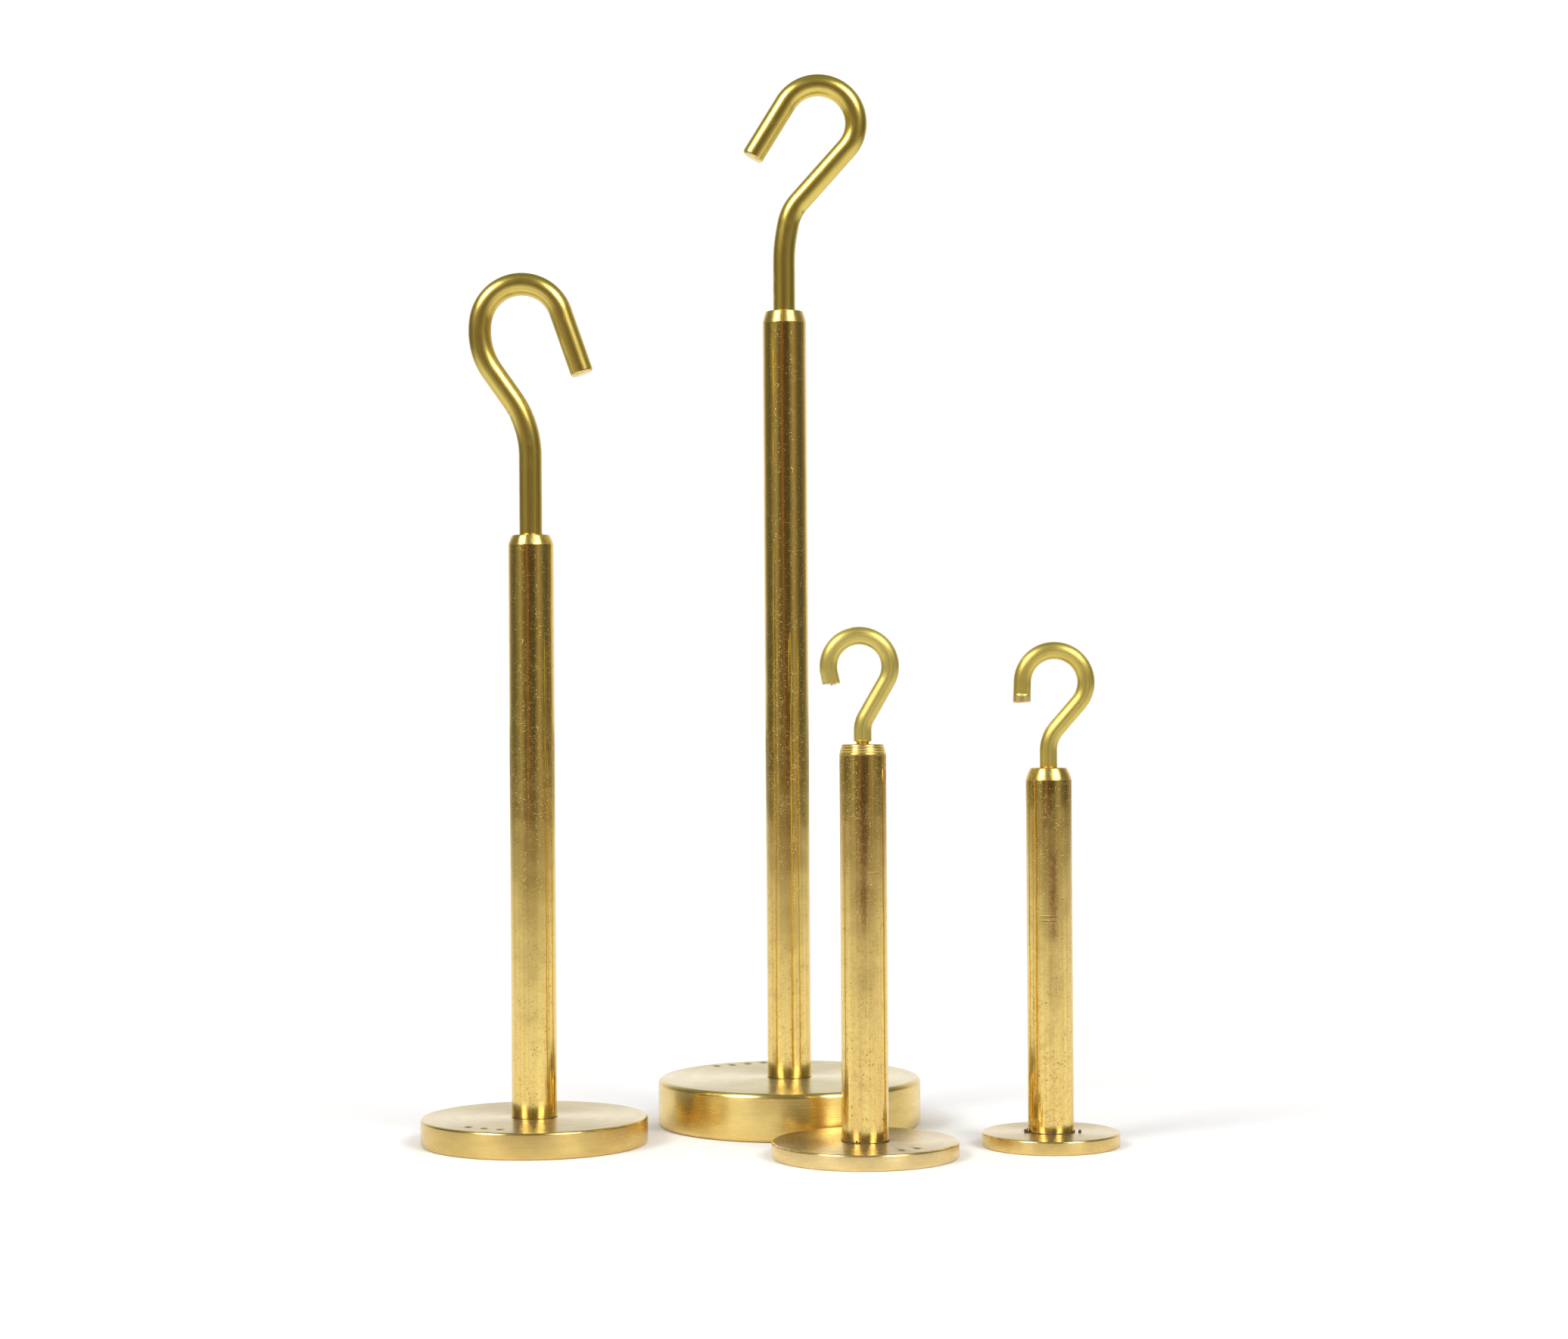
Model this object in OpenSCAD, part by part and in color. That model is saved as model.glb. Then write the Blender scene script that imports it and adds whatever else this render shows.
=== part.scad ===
// A set of four hooked weight hangers in brass: 100, 50, 25 and 20 grams.
// Each hanger is a turned disc, a round stem screwed to it from below,
// and a bent wire hook screwed into the top of the stem.
// Everything stands on Z = 0, and the origin is in the middle of the set.

/* [Stock] */
// Diameter of the bar that all four stems are cut from
stem_d = 6.35; // [5.6:0.05:7]
// Diameter of the wire in the 100 g and 50 g hooks
large_wire_d = 3.18; // [2.8:0.02:3.4]
// Diameter of the wire in the 25 g and 20 g hooks
small_wire_d = 2.38; // [2.2:0.02:2.6]

/* [100 g hanger] */
// Diameter of the base disc
base_100_d = 38.1; // [30:0.1:42]
// Thickness of the base disc
base_100_t = 6.85; // [4:0.05:9]
// Length of the stem above the base
stem_100_h = 111.4; // [40:0.1:140]

/* [50 g hanger] */
// Diameter of the base disc
base_50_d = 31.75; // [24:0.05:36]
// Thickness of the base disc
base_50_t = 3.7; // [3:0.05:6]
// Length of the stem above the base
stem_50_h = 81.4; // [35:0.1:110]
// Place of its stem, to the right of the 100 g stem
x_50 = -35.75; // [-60:0.05:-35.5]
// Place of its stem, behind the 100 g stem
y_50 = -16.8; // [-40:0.1:-12]

/* [25 g hanger] */
// Diameter of the base disc
base_25_d = 25.4; // [20:0.1:26]
// Thickness of the base disc
base_25_t = 2.2; // [2:0.05:4]
// Length of the stem above the base
stem_25_h = 53.6; // [30:0.1:80]
// Place of its stem, to the right of the 100 g stem
x_25 = 10.2; // [6:0.1:12]
// Place of its stem, behind the 100 g stem
y_25 = -31.1; // [-50:0.1:-31]

/* [20 g hanger] */
// Diameter of the base disc
base_20_d = 19.05; // [16:0.05:21]
// Thickness of the base disc
base_20_t = 1.95; // [1.9:0.05:4]
// Length of the stem above the base
stem_20_h = 50.25; // [30:0.05:80]
// Place of its stem, to the right of the 100 g stem
x_20 = 36.1; // [36:0.1:60]
// Place of its stem, behind the 100 g stem
y_20 = -22.3; // [-50:0.1:0]

/* [Hook ends] */
// Pitch of the thread on the hooks and base screws
thread_pitch = 0.64; // [0.5:0.02:0.8]
// Number of threads on a large hook
large_threads = 9; // [6:1:12]
// Number of threads on a small hook
small_threads = 7; // [5:1:10]
// How much smaller than its wire the thread of a hook is
thread_relief = 0.18; // [0.1:0.02:0.3]

/* [Base screws] */
// Outside diameter of the screw thread
screw_d = 2.8; // [2.4:0.05:3.2]
// Diameter of the countersunk head
screw_head_d = 5.3; // [4.6:0.05:6]
// Depth of the cone under the head
screw_cone_h = 1.2; // [1:0.05:1.5]
// How far the head lies inside the base
screw_recess = 0.2; // [0.1:0.05:0.3]
// Length of thread in the stem
screw_grip = 5.2; // [4:0.1:7]

/* [Punched marks] */
// Diameter of one punched dot
dot_d = 1.4; // [0.8:0.05:1.4]
// Depth of one punched dot
dot_depth = 0.34; // [0.2:0.02:0.4]
// Distance between dots
dot_pitch = 2.6; // [2:0.1:2.6]

/* [Hidden] */

$fn = 96;
fit = 0.03;
eps = 0.01;
stem_r = stem_d / 2;

disc_brass = [0.90, 0.79, 0.52];
stem_brass = [0.80, 0.66, 0.36];
wire_brass = [0.72, 0.62, 0.27];
screw_brass = [0.84, 0.72, 0.43];

// Middle of the four discs, seen from above
left_edge = min(-base_100_d / 2, x_50 - base_50_d / 2);
right_edge = max(base_100_d / 2, x_20 + base_20_d / 2);
front_edge = min(y_50 - base_50_d / 2, y_25 - base_25_d / 2, y_20 - base_20_d / 2);
back_edge = base_100_d / 2;
mid_x = (left_edge + right_edge) / 2;
mid_y = (front_edge + back_edge) / 2;

// Bending orders for the hooks, from the stem upward.
// Each row is [bend radius, bend angle, straight length after it], a plus angle bends to +X.
// The straight before the first bend and the tip after the last one have their own lengths.
hook_100_foot = 7.1;
hook_100_bends = [[24.5, 11, 1], [6.7, 31, 10.4], [5.56, -190, 0]];
hook_100_tip = 9.3;
hook_50_foot = 11.05;
hook_50_bends = [[14.1, -35, 4.6], [9.9, 42, 0.3], [5.8, 154, 0]];
hook_50_tip = 9.25;
hook_25_foot = 1.5;
hook_25_bends = [[3.5, 30, 5.5], [4.18, -222, 0]];
hook_25_tip = 1.75;
hook_20_foot = 2.3;
hook_20_bends = [[4.75, 41, 4.6], [4.4, -219, 0]];
hook_20_tip = 2.9;

// A bend is drawn this much thinner than the straights, and laps this far into them
bend_thinner = 0.01;
bend_lap = 0.1;

// Gaps between the top of a stem and the full wire of its hook
seat_gap = 0.02;
open_neck = 0.42;

// Shapes that repeat

// Outline of a disc with both rims rounded, from the axis outward
function disc_outline(d, t, rim) = concat(
    [[0, 0]],
    [for (a = [0:18:90]) [d / 2 - rim + rim * sin(a), rim - rim * cos(a)]],
    [for (a = [0:18:90]) [d / 2 - rim + rim * cos(a), t - rim + rim * sin(a)]],
    [[0, t]]
);

// Outline of a stem whose top end is turned down in a slightly rounded taper
function stem_outline(h, taper_in, taper_h) = concat(
    [[0, 0], [stem_r - 0.1, 0], [stem_r, 0.1]],
    [for (t = [0:0.2:1]) [stem_r - taper_in * pow(t, 1.5), h - taper_h * (1 - t) - 0.08]],
    [[stem_r - taper_in - 0.12, h], [0, h]]
);

// Crests and roots of a thread drawn as plain rings, from z = 0 down
function thread_rings(d, turns) = concat(
    [for (i = [0:turns - 1], k = [0, 1])
        [d / 2 - (k == 0 ? 0.28 : 0), -(i + k / 2) * thread_pitch]],
    [[d / 2 - 0.4, -turns * thread_pitch]]
);

// Outline of a hook's foot: thread, neck, shoulder and the first straight of the wire
function foot_outline(wire_d, turns, neck, straight) = concat(
    [[0, straight], [wire_d / 2, straight], [wire_d / 2, neck + 0.08], [wire_d / 2 - 0.06, neck]],
    [[(wire_d - thread_relief) / 2 - 0.25, neck - 0.06]],
    [for (p = thread_rings(wire_d - thread_relief, turns)) [p[0], p[1] - 0.4]],
    [[0, -0.4 - turns * thread_pitch]]
);

// A run of wire that starts at the origin along +Z, follows a bending order
// and ends with its children
module bent_wire(d, bends, i = 0) {
    radius = bends[i][0];
    turn = bends[i][1];
    straight = bends[i][2];
    flip = turn < 0 ? 180 : 0;
    lap = bend_lap / radius * 180 / PI;
    rotate([0, 0, flip]) {
        translate([radius, 0, 0]) mirror([1, 0, 0]) rotate([90, 0, 0]) rotate([0, 0, -lap])
            rotate_extrude(angle = abs(turn) + 2 * lap)
                translate([radius, 0]) circle(d = d - bend_thinner);
        translate([radius, 0, 0]) rotate([0, abs(turn), 0]) translate([-radius, 0, 0])
            rotate([0, 0, -flip]) {
                if (i + 1 < len(bends)) {
                    cylinder(d = d, h = straight);
                    translate([0, 0, straight]) bent_wire(d, bends, i + 1) children();
                } else children();
            }
    }
}

// A row of punched dots on top of a base
module dots(count, t, reach, around) {
    for (i = [0:count - 1])
        rotate([0, 0, around])
            translate([reach, (i - (count - 1) / 2) * dot_pitch, t - dot_depth])
                cylinder(d1 = 0.2, d2 = dot_d * 1.04, h = dot_depth * 1.04, $fn = 32);
}

// A base disc with a countersunk hole for its screw
module base(d, t, rim, count, reach, around) {
    color(disc_brass) difference() {
        rotate_extrude() polygon(disc_outline(d, t, rim));
        translate([0, 0, -1]) cylinder(r = screw_d / 2 + 0.15, h = t + 2);
        translate([0, 0, screw_recess])
            cylinder(d1 = screw_head_d, d2 = screw_d, h = screw_cone_h);
        translate([0, 0, -1]) cylinder(d = screw_head_d, h = 1 + screw_recess + eps);
        dots(count, t, reach, around);
    }
}

// A stem with a tapped hole at each end and fine turned rings on its taper
module stem(h, taper_in, taper_h, hook_d, hook_depth, rings) {
    color(stem_brass) difference() {
        rotate_extrude() polygon(stem_outline(h, taper_in, taper_h));
        translate([0, 0, -1]) cylinder(r = screw_d / 2 + fit, h = 1 + screw_grip + 0.8);
        translate([0, 0, h - hook_depth]) cylinder(r = hook_d / 2 + fit, h = hook_depth + 1);
        if (rings > 0) for (i = [0:rings - 1])
            translate([0, 0, h - 0.35 - i * 0.34]) rotate_extrude()
                polygon([[stem_r + 0.2, -0.34], [stem_r - taper_in - 0.02, 0], [stem_r + 0.2, 0.16]]);
    }
}

// A slotted countersunk screw, head down, through a base of thickness t
module base_screw(t) {
    shank_h = t - screw_recess - screw_cone_h;
    turns = floor((screw_grip - 0.6) / thread_pitch);
    color(screw_brass) difference() {
        union() {
            translate([0, 0, screw_recess])
                cylinder(d1 = screw_head_d - 0.04, d2 = screw_d - 0.04, h = screw_cone_h);
            translate([0, 0, screw_recess + screw_cone_h - eps])
                cylinder(d = screw_d - 0.3, h = shank_h + 0.6);
            translate([0, 0, t + 0.2]) mirror([0, 0, 1]) rotate_extrude()
                polygon(concat([[0, 0]], thread_rings(screw_d, turns), [[0, -turns * thread_pitch]]));
        }
        translate([-screw_head_d, -0.35, -1]) cube([2 * screw_head_d, 0.7, 1.55 + screw_recess]);
    }
}

// A tip cut square and lightly filed all round
module filed_tip(d, h) {
    rotate_extrude() polygon([[0, 0], [d / 2, 0], [d / 2, h - 0.3], [d / 2 - 0.22, h], [0, h]]);
}

// A tip pinched off with side cutters, which leaves a low ridge
module pinched_tip(d, h) {
    left_fall = 0.45 * d;
    right_fall = 0.3 * d;
    difference() {
        cylinder(d = d, h = h + 0.3);
        translate([0, d, 0]) rotate([90, 0, 0]) linear_extrude(2 * d)
            polygon([[-d, h - left_fall], [0, h], [d, h - right_fall], [d, h + 1], [-d, h + 1]]);
    }
}

// A tip that was sheared, with a slightly swollen band and a slanted end
module sheared_tip(d, h) {
    band = 1.1;
    difference() {
        rotate_extrude() polygon([
            [0, 0], [d / 2, 0], [d / 2, h - band], [d / 2 + 0.04, h - band + 0.05],
            [d / 2 + 0.04, h + 0.3], [0, h + 0.3]
        ]);
        translate([0, 0, h]) rotate([0, -5, 0]) translate([-d, -d, 0]) cube([2 * d, 2 * d, 2]);
    }
}

// A hook standing on the top face of its stem, its tip drawn by the children
module hook(wire_d, turns, neck, straight, bends) {
    color(wire_brass) {
        rotate_extrude() polygon(foot_outline(wire_d, turns, neck, neck + straight));
        translate([0, 0, neck + straight]) bent_wire(wire_d, bends) children();
    }
}

// 100 g hanger

module place_100() {
    translate([-mid_x, -mid_y, 0]) children();
}

module base_100g() {
    place_100() base(base_100_d, base_100_t, 0.75, 4, base_100_d / 2 - 3.4, 118);
}

module stem_100g() {
    place_100() translate([0, 0, base_100_t])
        stem(stem_100_h, 0.46, 1.76, large_wire_d - thread_relief, large_threads * thread_pitch + 1.1, 0);
}

module base_screw_100g() {
    place_100() base_screw(base_100_t);
}

module hook_100g() {
    place_100() translate([0, 0, base_100_t + stem_100_h])
        hook(large_wire_d, large_threads, seat_gap, hook_100_foot, hook_100_bends)
            filed_tip(large_wire_d, hook_100_tip);
}

// 50 g hanger

module place_50() {
    translate([x_50 - mid_x, y_50 - mid_y, 0]) children();
}

module base_50g() {
    place_50() base(base_50_d, base_50_t, 0.35, 3, base_50_d / 2 - 3.2, -118);
}

module stem_50g() {
    place_50() translate([0, 0, base_50_t])
        stem(stem_50_h, 0.52, 1.43, large_wire_d - thread_relief, large_threads * thread_pitch + 1.1, 0);
}

module base_screw_50g() {
    place_50() base_screw(base_50_t);
}

module hook_50g() {
    place_50() translate([0, 0, base_50_t + stem_50_h])
        hook(large_wire_d, large_threads, seat_gap, hook_50_foot, hook_50_bends)
            filed_tip(large_wire_d, hook_50_tip);
}

// 25 g hanger

module place_25() {
    translate([x_25 - mid_x, y_25 - mid_y, 0]) children();
}

module base_25g() {
    place_25() base(base_25_d, base_25_t, 0.3, 2, base_25_d / 2 - 2.9, -55);
}

module stem_25g() {
    place_25() translate([0, 0, base_25_t])
        stem(stem_25_h, 0.34, 1.4, small_wire_d - thread_relief, small_threads * thread_pitch + 1.1, 3);
}

module base_screw_25g() {
    place_25() base_screw(base_25_t);
}

module hook_25g() {
    place_25() translate([0, 0, base_25_t + stem_25_h])
        hook(small_wire_d, small_threads, open_neck, hook_25_foot, hook_25_bends)
            pinched_tip(small_wire_d, hook_25_tip);
}

// 20 g hanger

module place_20() {
    translate([x_20 - mid_x, y_20 - mid_y, 0]) children();
}

module base_20g() {
    place_20() base(base_20_d, base_20_t, 0.28, 1, base_20_d / 2 - 2.6, 80);
}

module stem_20g() {
    place_20() translate([0, 0, base_20_t])
        stem(stem_20_h, 0.64, 1.68, small_wire_d - thread_relief, small_threads * thread_pitch + 1.1, 0);
}

module base_screw_20g() {
    place_20() base_screw(base_20_t);
}

module hook_20g() {
    place_20() translate([0, 0, base_20_t + stem_20_h])
        hook(small_wire_d, small_threads, seat_gap, hook_20_foot, hook_20_bends)
            sheared_tip(small_wire_d, hook_20_tip);
}

base_100g();
stem_100g();
base_screw_100g();
hook_100g();
base_50g();
stem_50g();
base_screw_50g();
hook_50g();
base_25g();
stem_25g();
base_screw_25g();
hook_25g();
base_20g();
stem_20g();
base_screw_20g();
hook_20g();
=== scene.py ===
import math
import random

import bmesh
import bpy
from mathutils import Matrix, Vector, noise


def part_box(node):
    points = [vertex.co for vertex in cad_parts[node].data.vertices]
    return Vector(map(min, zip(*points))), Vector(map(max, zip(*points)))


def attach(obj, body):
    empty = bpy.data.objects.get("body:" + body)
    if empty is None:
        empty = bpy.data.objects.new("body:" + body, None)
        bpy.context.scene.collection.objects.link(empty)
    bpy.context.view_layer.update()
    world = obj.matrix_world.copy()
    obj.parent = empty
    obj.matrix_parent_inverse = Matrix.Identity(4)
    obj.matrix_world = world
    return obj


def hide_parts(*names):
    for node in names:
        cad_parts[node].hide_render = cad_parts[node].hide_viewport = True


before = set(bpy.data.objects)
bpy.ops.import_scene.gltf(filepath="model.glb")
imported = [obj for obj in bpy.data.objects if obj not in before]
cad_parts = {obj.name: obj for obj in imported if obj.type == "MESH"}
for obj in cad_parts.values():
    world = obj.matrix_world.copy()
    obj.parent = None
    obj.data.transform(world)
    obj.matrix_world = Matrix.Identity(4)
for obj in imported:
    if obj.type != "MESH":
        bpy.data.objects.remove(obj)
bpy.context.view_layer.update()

mm = 0.001
scene = bpy.context.scene
sizes = ("100g", "50g", "25g", "20g")


# ---- camera

viewpoint = {
    "place": (2.6 * mm, -425.9 * mm, 64.6 * mm),
    "lens": 69.04,
    "tiltUp": 0.196,
    "lean": 0.384,
}


def makeCamera(setup):
    data = bpy.data.cameras.new("tableCamera")
    data.lens = setup["lens"]
    data.sensor_width = 36
    data.clip_start = 0.01
    camera = bpy.data.objects.new("tableCamera", data)
    camera.location = setup["place"]
    camera.rotation_euler = (math.radians(90 + setup["tiltUp"]), math.radians(setup["lean"]), 0)
    scene.collection.objects.link(camera)
    scene.camera = camera


makeCamera(viewpoint)
scene.view_settings.view_transform = "Standard"
print("camera ready")


# ---- shader building blocks

def addNode(tree, kind, settings=None, **values):
    node = tree.nodes.new(kind)
    for key, value in (settings or {}).items():
        setattr(node, key, value)
    for key, value in values.items():
        numbered = key[0] == "i" and key[1:].isdigit()
        socket = node.inputs[int(key[1:]) if numbered else key.replace("_", " ")]
        if isinstance(value, bpy.types.NodeSocket):
            tree.links.new(value, socket)
        else:
            socket.default_value = value
    return node


def maths(tree, operation, a, b=0.0, clamp=False):
    settings = {"operation": operation, "use_clamp": clamp}
    return addNode(tree, "ShaderNodeMath", settings, i0=a, i1=b).outputs[0]


def vectorMaths(tree, operation, a, b=None, result=0):
    # b may be a socket or three fixed numbers
    given = {} if b is None else {"i1": b}
    return addNode(tree, "ShaderNodeVectorMath", {"operation": operation}, i0=a, **given).outputs[result]


def ramp(tree, fac, stops, ease="LINEAR"):
    node = addNode(tree, "ShaderNodeValToRGB", i0=fac)
    node.color_ramp.interpolation = ease
    marks = node.color_ramp.elements
    while len(marks) < len(stops):
        marks.new(0.5)
    for mark, (place, shade) in zip(marks, stops):
        mark.position = place
        mark.color = (*shade, 1) if isinstance(shade, tuple) else (shade, shade, shade, 1)
    return node.outputs[0]


def mixColour(tree, fac, a, b, blend="MIX"):
    node = addNode(tree, "ShaderNodeMix", {"data_type": "RGBA", "blend_type": blend}, i0=fac, i6=a, i7=b)
    return node.outputs[2]


def newGroup(name, inputs, outputs):
    tree = bpy.data.node_groups.new(name, "ShaderNodeTree")
    for label, kind, default in inputs:
        socket = tree.interface.new_socket(label, in_out="INPUT", socket_type=kind)
        if default is not None:
            socket.default_value = default
    for label in outputs:
        tree.interface.new_socket(label, in_out="OUTPUT", socket_type="NodeSocketFloat")
    return tree, tree.nodes.new("NodeGroupInput").outputs, tree.nodes.new("NodeGroupOutput").inputs


def useGroup(tree, group, **values):
    return addNode(tree, "ShaderNodeGroup", {"node_tree": group}, **values).outputs


vectorIn = ("Position", "NodeSocketVector", None)


def makeTurnedLines():
    # rings round the Z axis, spaced by radius on a face and by height on a rim
    tree, given, result = newGroup("turnedLines", [
        vectorIn, ("Spacing", "NodeSocketFloat", 0.0001), ("Wander", "NodeSocketFloat", 1.0)],
        ["Lines", "Bands"])
    parts = addNode(tree, "ShaderNodeSeparateXYZ", i0=given["Position"]).outputs
    flat = addNode(tree, "ShaderNodeCombineXYZ", i0=parts[0], i1=parts[1]).outputs[0]
    radius = vectorMaths(tree, "LENGTH", flat, result="Value")
    heading = vectorMaths(tree, "NORMALIZE", flat)
    turn = addNode(tree, "ShaderNodeSeparateXYZ", i0=heading).outputs
    across = maths(tree, "DIVIDE", maths(tree, "ADD", radius, parts[2]), given["Spacing"])
    along = [maths(tree, "MULTIPLY", turn[i], given["Wander"]) for i in (0, 1)]
    fine = addNode(tree, "ShaderNodeCombineXYZ", i0=across, i1=along[0], i2=along[1]).outputs[0]
    lines = addNode(tree, "ShaderNodeTexNoise", i0=fine, Scale=1.0, Detail=3.0, Roughness=0.7)
    broad = vectorMaths(tree, "MULTIPLY", fine, (0.09, 1.6, 1.6))
    bands = addNode(tree, "ShaderNodeTexNoise", i0=broad, Scale=1.0, Detail=2.0, Roughness=0.5)
    tree.links.new(lines.outputs["Fac"], result["Lines"])
    tree.links.new(bands.outputs["Fac"], result["Bands"])
    return tree


def makeDrawnLines():
    # lines along Z at three lengths: short scratches, long streaks and slow waves
    tree, given, result = newGroup("drawnLines", [
        vectorIn, ("Fineness", "NodeSocketFloat", 20.0), ("Stretch", "NodeSocketFloat", 60.0)],
        ["Lines", "Streaks", "Waves"])
    fineness, stretch = given["Fineness"], given["Stretch"]
    scales = addNode(tree, "ShaderNodeCombineXYZ", i0=fineness, i1=fineness, i2=stretch).outputs[0]
    lined = vectorMaths(tree, "MULTIPLY", given["Position"], scales)
    for label, share, detail in (("Lines", (1.0, 1.0, 1.0), 4.0), ("Streaks", (0.5, 0.5, 0.16), 3.0),
                                 ("Waves", (0.08, 0.08, 2.2), 1.0)):
        scaled = vectorMaths(tree, "MULTIPLY", lined, share)
        found = addNode(tree, "ShaderNodeTexNoise", i0=scaled, Scale=1.0, Detail=detail, Roughness=0.65)
        tree.links.new(found.outputs["Fac"], result[label])
    return tree


def makePits():
    # scattered dark specks, with a share of the cells left empty
    tree, given, result = newGroup("finePits", [
        vectorIn, ("Spacing", "NodeSocketFloat", 0.0005), ("Size", "NodeSocketFloat", 0.2),
        ("Share", "NodeSocketFloat", 0.4)], ["Pits"])
    scaled = vectorMaths(tree, "DIVIDE", given["Position"], given["Spacing"])
    cells = addNode(tree, "ShaderNodeTexVoronoi", {"feature": "F1"}, Vector=scaled, Scale=1.0, Randomness=1.0)
    lot = addNode(tree, "ShaderNodeSeparateColor", i0=cells.outputs["Color"]).outputs
    wide = maths(tree, "MULTIPLY", given["Size"], maths(tree, "ADD", lot[1], 0.3))
    depth = maths(tree, "SUBTRACT", 1.0, maths(tree, "DIVIDE", cells.outputs["Distance"], wide), clamp=True)
    kept = maths(tree, "LESS_THAN", lot[0], given["Share"])
    patches = addNode(tree, "ShaderNodeTexNoise", i0=scaled, Scale=0.12, Detail=2.0)
    crowd = maths(tree, "MULTIPLY", maths(tree, "SUBTRACT", patches.outputs["Fac"], 0.38), 6.0, clamp=True)
    tree.links.new(maths(tree, "MULTIPLY", maths(tree, "MULTIPLY", depth, kept), crowd), result["Pits"])
    return tree


def makeScratches():
    # hair scratches in a few directions, broken into short runs
    tree, given, result = newGroup("hairScratches", [
        vectorIn, ("Spacing", "NodeSocketFloat", 0.002), ("Share", "NodeSocketFloat", 0.3)], ["Scratches"])
    scaled = vectorMaths(tree, "DIVIDE", given["Position"], given["Spacing"])
    found = []
    for lean, swing in ((0.5, 0.2), (-0.9, 1.3), (1.4, 2.4)):
        turned = addNode(tree, "ShaderNodeVectorRotate", {"rotation_type": "EULER_XYZ"}, Vector=scaled,
                         Rotation=(lean, 0.4 * lean, swing)).outputs[0]
        thin = vectorMaths(tree, "MULTIPLY", turned, (1.0, 1.0, 0.03))
        hairs = addNode(tree, "ShaderNodeTexNoise", i0=thin, Scale=2.2, Detail=1.0)
        line = maths(tree, "SUBTRACT", 1.0, maths(tree, "MULTIPLY", maths(tree, "ABSOLUTE", maths(
            tree, "SUBTRACT", hairs.outputs["Fac"], 0.5)), 90.0), clamp=True)
        runs = addNode(tree, "ShaderNodeTexNoise", i0=turned, Scale=0.9, Detail=2.0)
        cut = maths(tree, "MULTIPLY", maths(tree, "SUBTRACT", runs.outputs["Fac"], maths(
            tree, "SUBTRACT", 0.75, maths(tree, "MULTIPLY", given["Share"], 0.4))), 8.0, clamp=True)
        found.append(maths(tree, "MULTIPLY", line, cut))
    both = maths(tree, "MAXIMUM", found[0], found[1])
    tree.links.new(maths(tree, "MAXIMUM", both, found[2]), result["Scratches"])
    return tree


def makeTarnish():
    # soft brown clouds, broken up at two scales
    tree, given, result = newGroup("tarnish", [
        vectorIn, ("Patch", "NodeSocketFloat", 0.004), ("Amount", "NodeSocketFloat", 0.3)], ["Tarnish"])
    scaled = vectorMaths(tree, "DIVIDE", given["Position"], given["Patch"])
    clouds = addNode(tree, "ShaderNodeTexNoise", i0=scaled, Scale=1.0, Detail=6.0, Roughness=0.62)
    edge = maths(tree, "SUBTRACT", 0.72, maths(tree, "MULTIPLY", given["Amount"], 0.4))
    spread = maths(tree, "MULTIPLY", maths(tree, "SUBTRACT", clouds.outputs["Fac"], edge), 4.0, clamp=True)
    tree.links.new(spread, result["Tarnish"])
    return tree


turnedLines = makeTurnedLines()
drawnLines = makeDrawnLines()
finePits = makePits()
hairScratches = makeScratches()
tarnish = makeTarnish()


def startMaterial(name, base, rough):
    material = bpy.data.materials.new(name)
    material.use_nodes = True
    tree = material.node_tree
    shader = tree.nodes["Principled BSDF"]
    shader.inputs["Metallic"].default_value = 1.0
    shader.inputs["Base Color"].default_value = (*base, 1)
    shader.inputs["Roughness"].default_value = rough
    return material, tree, shader


def bump(tree, height, distance, strength=1.0, under=None):
    node = addNode(tree, "ShaderNodeBump", Height=height, Strength=strength, Distance=distance)
    if under is not None:
        tree.links.new(under, node.inputs["Normal"])
    return node.outputs[0]


# ---- disc brass

discFinish = {
    # the top colour is paler than the rim colour: a painted reflection of the bright backdrop on the top
    # faces
    "100g": {"rim": (0.93, 0.70, 0.25), "top": (0.90, 0.77, 0.46)},
    "50g": {"rim": (0.84, 0.61, 0.22), "top": (0.86, 0.71, 0.42)},
    "25g": {"rim": (0.95, 0.73, 0.34), "top": (0.86, 0.70, 0.42)},
    "20g": {"rim": (0.90, 0.66, 0.25), "top": (0.85, 0.69, 0.41)},
    "brown": (0.55, 0.33, 0.12),
    # middle of the worst scuff on each disc
    "scuffs": {"100g": (-9 * mm, 6 * mm), "50g": (6 * mm, 7 * mm), "25g": (7.5 * mm, 2.5 * mm),
               "20g": (-5.5 * mm, -1 * mm)},
    "scuffReach": 4 * mm, "scuffDark": (0.12, 0.09, 0.05), "pitDark": (0.16, 0.09, 0.04),
    "rough": 0.22, "roughSpread": 0.12, "lineSpacing": 0.13 * mm, "lineDepth": 0.0006 * mm,
}


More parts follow.
